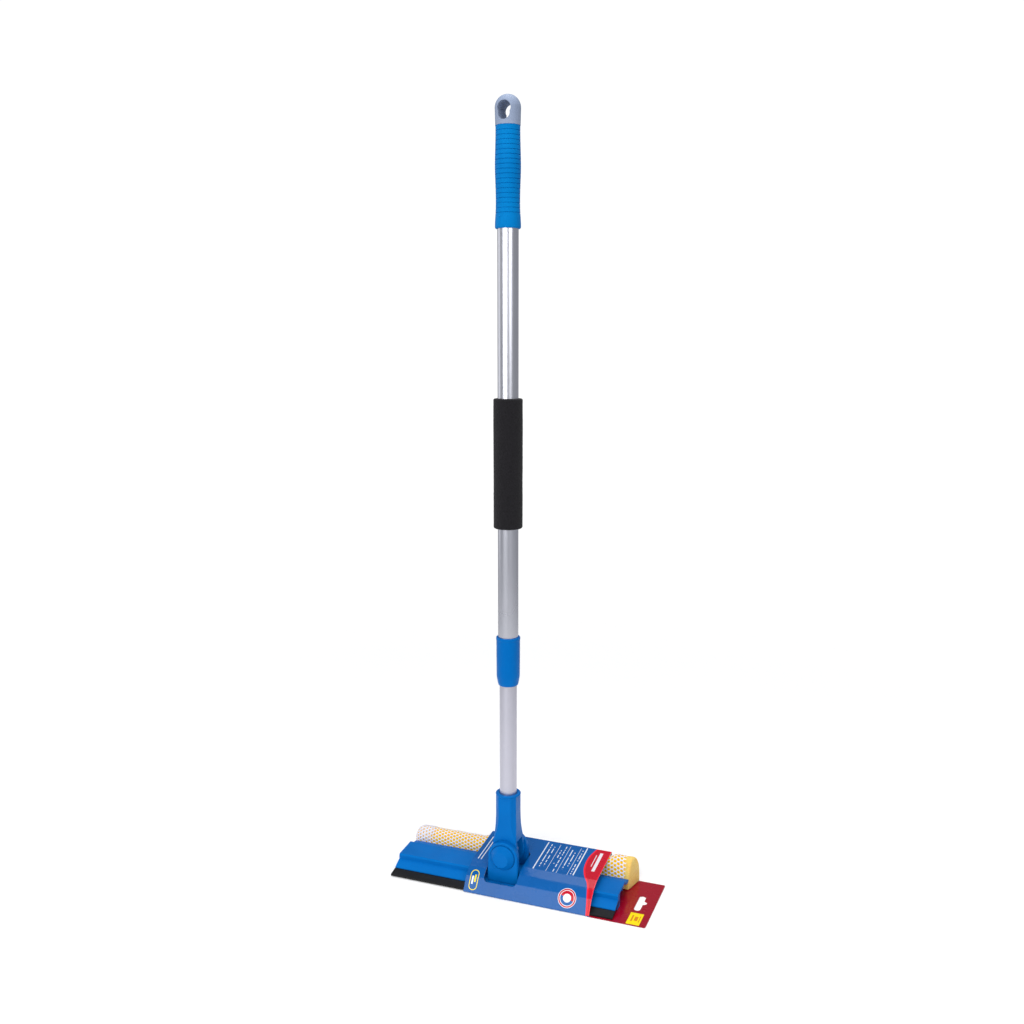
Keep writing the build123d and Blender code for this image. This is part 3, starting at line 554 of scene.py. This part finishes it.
CENTRE = np.array([11.5, 12.0])    # mm, the middle of a section, as (depth, height)
SLACK_SIZE, SLACK_LIFT = 7.0, 0.9  # mm across and mm high, the net's slow ripple


def soft_noise(x, y, z, size, seed):
    """Smooth noise from about -1 to 1, with lumps of that size."""
    return noise.noise(Vector((x / size + seed, y / size - seed, z / size + 0.37 * seed)))


def section(x):
    """The net's section at x, in mm: looser outside the card wrap."""
    held = smoothstep(x, CARD_X[0] - 9, CARD_X[0] + 2) * (1 - smoothstep(x, CARD_X[1] - 2, CARD_X[1] + 9))
    free = LEFT_LOOP if x < 0 else RIGHT_LOOP
    loop = free * (1 - held) + HELD_LOOP * held
    if x > CARD_X[1]:
        lean = smoothstep(x, CARD_X[1] + 6, CARD_X[1] + 28)
        loop = loop * np.array([1.0, 1.0 - 0.035 * lean])
    return loop


UNDERSIDE_HEIGHT = 1.6        # mm, below this the net lies on the card and is pressed flat
STEP = 1.0                    # mm between the surface's stored sections
CAP_RUN = CAP_R * math.radians(82)
RUNS = np.arange(CAP_X - CAP_RUN, NET_HIGH.x / MM + 6.0, STEP)


def net_surface():
    """Points of the net's outside over (run, around), in mm, and the outward normals."""
    grid = np.zeros((len(RUNS), AROUND, 3))
    for i, run in enumerate(RUNS):
        turn = max(CAP_X - run, 0.0) / CAP_R
        x = run if turn == 0 else CAP_X - CAP_R * math.sin(turn)
        loop = section(x)
        squeeze = np.array([math.cos(turn) ** 0.45, math.cos(turn) ** 0.75])
        loop = CENTRE + (loop - CENTRE) * squeeze
        slack = 0.25 + 0.30 * float(smoothstep(-x, -FOLD_X, -FOLD_X + 8))
        for j, (depth, height) in enumerate(loop):
            lift = soft_noise(x, depth, height, SLACK_SIZE, 3.1) * SLACK_LIFT * slack
            out = np.array([depth, height]) - CENTRE
            out /= max(np.linalg.norm(out), 1e-6)
            if height < UNDERSIDE_HEIGHT:
                lift = max(min(lift, 0.0), -0.2)
            grid[i, j] = (x, depth + out[0] * lift, max(height + out[1] * lift, -0.1))
    around = np.roll(grid, -1, 1) - np.roll(grid, 1, 1)
    along = np.gradient(grid, axis=0)
    normals = np.cross(along, around)
    normals /= np.linalg.norm(normals, axis=2, keepdims=True)
    away = grid[:, :, 1:] - CENTRE
    if (normals[:, :, 1:] * away).sum() < 0:
        normals = -normals
    grid[:, :, 1] += NET_LOW.y / MM
    grid[:, :, 2] += NET_LOW.z / MM
    return grid, normals


SURFACE, NORMALS = net_surface()


def on_surface(run, turn, lift):
    """Points in mm at a run along the sponge and a share of a turn round it, lifted outward."""
    i = np.clip((run - RUNS[0]) / STEP, 0, len(RUNS) - 1.001)
    j = np.mod(turn, 1.0) * AROUND
    i0, j0 = np.floor(i).astype(int), np.floor(j).astype(int) % AROUND
    fi, fj = (i - np.floor(i))[:, None], (j - np.floor(j))[:, None]
    j1 = (j0 + 1) % AROUND
    blended = []
    for grid in (SURFACE, NORMALS):
        low = grid[i0, j0] * (1 - fj) + grid[i0, j1] * fj
        high = grid[i0 + 1, j0] * (1 - fj) + grid[i0 + 1, j1] * fj
        blended.append(low * (1 - fi) + high * fi)
    return blended[0] + blended[1] * np.asarray(lift)[:, None]


def end_plane(depth, height):
    """x of the foam's cut end in mm: slanted across the sponge and leaning in at the top."""
    return 126.0 + (depth - 30.8) * 0.227 - height * 0.03


PITCH = 4.1                   # mm between holes round the sponge
COLUMN = 3.55                 # mm between columns of holes along it
HOLE_R = 1.62
HOLE_MEAN, HOLE_STRETCH = 0.94, 0.10    # a hole's mean radius and its stretch along the head
STRAND = 0.20                 # mm, half a strand's thickness
SKEW = 0.115                  # the columns lean along the head as they go round
BARE_FOAM = 2.0               # mm of foam past the net's edge
HEM = 1.6                     # mm more that keeps a hole whole at the edge
RAGGED_X, RAGGED = (118.0, 126.0), 0.7  # mm, where the net's cut end is uneven and by how much
SIDES = 12                    # points round a hole, at each corner and mid-side of its hexagon
HEXAGON_RATIO = 0.8660254     # half the square root of 3


def knitted_holes(first_x, last_x, layer=0, shift=0.0):
    """A layer of net as a closed mesh: hexagons of cloth, each round its hole, with domed strands."""
    rows = int(GIRTH / PITCH)
    columns = int((RUNS[-1] - RUNS[0]) / COLUMN)
    corner = PITCH / math.sqrt(3)
    angles = [2 * math.pi * k / SIDES for k in range(SIDES)]
    reach = [corner if k % 2 == 0 else PITCH / 2 for k in range(SIDES)]
    flat, heights, faces, index, uses = [], [], [], {}, {}

    def vertex(s, v, height, key=None):
        if key is not None and key in index:
            return index[key]
        flat.append((s, v))
        heights.append(height)
        if key is not None:
            index[key] = len(flat) - 1
        return len(flat) - 1

    for column in range(columns):
        for row in range(rows):
            s = (column + shift) * COLUMN
            v = (row + 0.5 + 0.5 * (column % 2)) * PITCH
            run = RUNS[0] + s + SKEW * (v - GIRTH / 2)
            at = on_surface(np.array([run]), np.array([v / GIRTH]), [0.0])[0]
            past_end = at[0] > end_plane(at[1], at[2]) - BARE_FOAM - HEM
            if past_end or v > GIRTH - 0.2 * PITCH or not first_x <= run <= last_x:
                continue
            top, bottom, dome, rim = [], [], [], []
            for angle, distance in zip(angles, reach):
                ds, dv = math.cos(angle), math.sin(angle)
                es, ev = s + ds * distance * COLUMN / (PITCH * HEXAGON_RATIO), v + dv * distance
                key = (round(6 * es / COLUMN), round(4 * ev / PITCH))
                top.append(vertex(es, ev, STRAND, (*key, "top")))
                bottom.append(vertex(es, ev, -STRAND, (*key, "bottom")))
                hole = HOLE_R * (HOLE_MEAN + HOLE_STRETCH * math.cos(2 * angle))
                middle = (distance + hole) / 2
                dome.append(vertex(s + ds * middle, v + dv * middle, 0.72 * STRAND))
                rim.append(vertex(s + ds * hole, v + dv * hole, -0.25 * STRAND))
            for k in range(SIDES):
                n = (k + 1) % SIDES
                faces += [(top[k], top[n], dome[n], dome[k]), (dome[k], dome[n], rim[n], rim[k]),
                          (rim[k], rim[n], bottom[n], bottom[k])]
                edge = tuple(sorted((top[k], top[n])))
                uses.setdefault(edge, []).append((top[k], top[n], bottom[n], bottom[k]))
    for sides in uses.values():
        if len(sides) == 1:
            faces.append(sides[0][::-1])
    flat = np.array(flat)
    run = RUNS[0] + flat[:, 0] + SKEW * (flat[:, 1] - GIRTH / 2)
    points = on_surface(run, flat[:, 1] / GIRTH, np.array(heights) + STRAND * (1 + 2 * layer))
    near = smoothstep(points[:, 0], *RAGGED_X)
    for point, share in zip(points, near):
        if share > 0:
            point[0] += RAGGED * share * soft_noise(point[1], point[2], 0.0, 2.6, 5.0)
    return points, faces


net_points, net_faces = knitted_holes(RUNS[0], RUNS[-1])
net = piece("net_cover", net_points * MM, net_faces, "white_net", "head")
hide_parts("sponge_net")
fold_points, fold_faces = knitted_holes(RUNS[0] + 2.0, FOLD_X, layer=1, shift=0.5)
fold = piece("net_fold", fold_points * MM, fold_faces, "white_net", "head")

FOAM_RISE = 0.12              # mm that the foam stands up into the net's holes
FOAM_AROUND = 160
END_RINGS = 14                # rings across an end face
LAST_RUN = 118.0              # mm, where the foam's slanted end begins
RING_STEP = 1.6
END_SWELL = 0.7               # mm that the open end bulges
END_ROUNDING = 0.9
FACE_CROWN = 0.25


def sponge_block():
    """The foam under the net: rounded off on the left, cut on a slant on the right."""
    last = LAST_RUN
    shares = np.linspace(0, 1, 9)
    turn = np.arange(FOAM_AROUND) / FOAM_AROUND
    rise = np.full(FOAM_AROUND, FOAM_RISE)
    runs = np.arange(RUNS[0] + 0.6, last, RING_STEP)
    rings = [on_surface(np.full(FOAM_AROUND, run), turn, rise) for run in runs]
    for share in shares:
        ring = on_surface(np.full(FOAM_AROUND, last), turn, rise)
        goal = end_plane(ring[:, 1], ring[:, 2])
        swell = END_SWELL * math.sin(math.pi * min(share, 0.9)) * share
        centre = ring[:, 1:].mean(0)
        out = ring[:, 1:] - centre
        out /= np.linalg.norm(out, axis=1, keepdims=True)
        rounding = END_ROUNDING * max(share - 0.9, 0.0) * 10
        ring[:, 1:] += out * (swell - rounding)
        ring[:, 2] = np.maximum(ring[:, 2], NET_LOW.z / MM + 0.1)
        ring[:, 0] = last + (goal - last) * share
        rings.append(ring)
    outer = rings[-1]
    centre = outer[:, 1:].mean(0)
    for k in range(1, END_RINGS):
        inner = outer.copy()
        share = 1 - k / END_RINGS
        inner[:, 1:] = centre + (outer[:, 1:] - centre) * share
        inner[:, 0] = end_plane(inner[:, 1], inner[:, 2]) + FACE_CROWN * (1 - share)
        rings.append(inner)
    start = rings[0]
    first_centre = start[:, 1:].mean(0)
    caps = []
    for k in range(END_RINGS - 1, 0, -1):
        inner = start.copy()
        inner[:, 1:] = first_centre + (start[:, 1:] - first_centre) * (1 - k / END_RINGS)
        caps.append(inner)
    rings = caps + rings
    points = np.vstack(rings)
    faces = tube_faces(len(rings), FOAM_AROUND)
    faces.append(tuple(range(FOAM_AROUND)))
    last_ring = (len(rings) - 1) * FOAM_AROUND
    faces.append(tuple(reversed(range(last_ring, last_ring + FOAM_AROUND))))
    for point in points:
        pit = soft_noise(*point, 1.3, 2.0) * 0.16 + soft_noise(*point, 4.5, 6.0) * 0.22
        pit *= float(smoothstep(np.linalg.norm(point[1:] - centre), 1.0, 4.0))
        if point[2] > NET_LOW.z / MM + 0.6:
            point[0] += pit if point[0] > 119.0 else 0.0
            point[2] += 0.3 * min(pit, 0.0)
    return points, faces


foam_points, foam_faces = sponge_block()
sponge = piece("sponge_foam", foam_points * MM, foam_faces, "yellow_foam", "head")
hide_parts("sponge_core")


# ---------------------------------------------------------------- foam grip on the pole
GRIP_LOW, GRIP_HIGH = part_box("foam_grip")
TUBE_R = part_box("upper_tube")[1].x / MM
GRIP_AROUND = 150
GRIP_SWELL = 0.25             # mm left for the surface's unevenness
GRIP_EDGE = 1.7               # mm, radius of the cut ends' soft edges
GRIP_STEP = 1.1


def foam_sleeve():
    """The grip: a cut length of foam tube, a little uneven, with soft cut ends."""
    low, high, radius = GRIP_LOW.z / MM, GRIP_HIGH.z / MM, GRIP_HIGH.x / MM - GRIP_SWELL
    bore = TUBE_R + 0.05
    soft = GRIP_EDGE
    arc = [math.radians(a) for a in range(0, 91, 15)]
    lower = [(radius - soft + soft * math.sin(a), low + soft - soft * math.cos(a)) for a in arc]
    upper = [(radius - soft + soft * math.cos(a), high - soft + soft * math.sin(a)) for a in arc]
    face = [bore + (radius - soft - bore) * k / 5 for k in range(5)]
    sides = [(radius, z) for z in np.arange(low + soft + GRIP_STEP, high - soft - 0.5, GRIP_STEP)]
    profile = [(r, low) for r in face] + lower + sides + upper + [(r, high) for r in reversed(face)]
    profile += [(bore, low + (high - low) * k / 12) for k in range(11, 0, -1)]
    points = []
    for r, z in profile:
        for k in range(GRIP_AROUND):
            a = 2 * math.pi * k / GRIP_AROUND
            x, y = r * math.cos(a), r * math.sin(a)
            if r > bore + 0.01:
                swell = 0.16 * soft_noise(x, y, z, 1.5, 4.0) + 0.18 * soft_noise(x, y, z * 0.4, 9.0, 7.0)
                x, y = x * (1 + swell / r), y * (1 + swell / r)
            points.append((x * MM, y * MM, z * MM))
    faces = tube_faces(len(profile), GRIP_AROUND)
    last = (len(profile) - 1) * GRIP_AROUND
    for k in range(GRIP_AROUND):
        n = (k + 1) % GRIP_AROUND
        faces.append((last + k, last + n, n, k))
    return points, faces


grip_points, grip_faces = foam_sleeve()
grip = piece("grip_foam", grip_points, grip_faces, "black_foam", "upper_pole")
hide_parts("foam_grip")


# ---------------------------------------------------------------- stage, lights, camera
FLOOR_R = 9.0                 # m
FLOOR_Z = -0.0004
FLOOR_FADE = (0.40, 1.3)      # m from the pole, where the floor fades out


def stage_floor():
    """A pale floor that fades out into the bright surroundings."""
    g = Graph("studio_floor")
    tone = g.ramp(g.noise(2.0, 2.0), 0.3, 0.7)
    away = g.add("ShaderNodeVectorMath", operation="LENGTH")
    g.feed(away.inputs[0], g.place)
    g.feed(g.shader.inputs["Alpha"], g.ramp(away.outputs["Value"], *FLOOR_FADE, 1.0, 0.0))
    material = g.finish(
        g.mix(tone, (0.92, 0.92, 0.925), (0.94, 0.94, 0.94)), 0.9, g.bump(g.noise(40.0), 0.01 * MM),
        Emission_Color=(1.0, 1.0, 1.0, 1.0), Emission_Strength=0.12,
    )
    mesh = bpy.data.meshes.new("studio_floor")
    turns = np.linspace(0, 2 * math.pi, 64, endpoint=False)
    ring = [(FLOOR_R * math.cos(a), FLOOR_R * math.sin(a), FLOOR_Z) for a in turns]
    mesh.from_pydata(ring, [], [tuple(range(64))])
    mesh.materials.append(material)
    floor = bpy.data.objects.new("studio_floor", mesh)
    bpy.context.scene.collection.objects.link(floor)


def soft_box(name, place, aim, width, height, watts):
    """A rectangular soft light at that place, turned to the aim."""
    light = bpy.data.lights.new(name, "AREA")
    light.shape, light.size, light.size_y, light.energy = "RECTANGLE", width, height, watts
    made = bpy.data.objects.new(name, light)
    made.location = place
    made.rotation_euler = (Vector(aim) - Vector(place)).to_track_quat("-Z", "Y").to_euler()
    bpy.context.scene.collection.objects.link(made)


def around_pole(azimuth, distance, height):
    """A place at that bearing from the pole, in degrees from +X."""
    a = math.radians(azimuth)
    return (distance * math.cos(a), distance * math.sin(a), height)


SIDE_DISTANCE = 2.3           # m from the pole to the lights beside it
POLE_AIM, HEAD_AIM = (0, 0, 0.60), (0, 0, 0.1)


def studio():
    """The floor, five soft lights and a pale world that the camera sees as white."""
    stage_floor()
    soft_box("key_left", around_pole(-101, SIDE_DISTANCE, 1.35), POLE_AIM, 1.9, 2.2, 36)
    soft_box("fill_right", around_pole(-42, SIDE_DISTANCE, 1.45), POLE_AIM, 1.3, 2.0, 15)
    soft_box("side_left", around_pole(178, SIDE_DISTANCE, 0.9), (0, 0, 0.55), 1.5, 2.0, 6)
    soft_box("top_back", (0.1, 0.9, 2.6), HEAD_AIM, 2.0, 1.2, 18)
    soft_box("top_front", (0.25, -0.35, 2.7), HEAD_AIM, 1.2, 0.9, 22)
    world = bpy.data.worlds.new("studio")
    world.use_nodes = True
    tree = world.node_tree
    dim = tree.nodes["Background"]
    dim.inputs["Color"].default_value = (0.93, 0.95, 1.0, 1.0)
    dim.inputs["Strength"].default_value = 0.30
    bright = tree.nodes.new("ShaderNodeBackground")
    bright.inputs["Color"].default_value = (1.0, 1.0, 1.0, 1.0)
    bright.inputs["Strength"].default_value = 1.05
    path = tree.nodes.new("ShaderNodeLightPath")
    mix = tree.nodes.new("ShaderNodeMixShader")
    tree.links.new(path.outputs["Is Camera Ray"], mix.inputs[0])
    tree.links.new(dim.outputs[0], mix.inputs[1])
    tree.links.new(bright.outputs[0], mix.inputs[2])
    tree.links.new(mix.outputs[0], tree.nodes["World Output"].inputs[0])
    bpy.context.scene.world = world
    bpy.context.scene.view_settings.view_transform = "Standard"


CAMERA_PLACE = (0.38548, -0.99011, 0.57768)
CAMERA_LOOK = (-0.35471, 0.92114, -0.16025)


def camera():
    """Seen from the right of the head's front and from 9 degrees above."""
    data = bpy.data.cameras.new("camera")
    data.sensor_width, data.lens = 36.0, 37.2
    made = bpy.data.objects.new("camera", data)
    made.location = CAMERA_PLACE
    made.rotation_mode = "QUATERNION"
    made.rotation_quaternion = Vector(CAMERA_LOOK).to_track_quat("-Z", "Y")
    bpy.context.scene.collection.objects.link(made)
    bpy.context.scene.camera = made


studio()
camera()
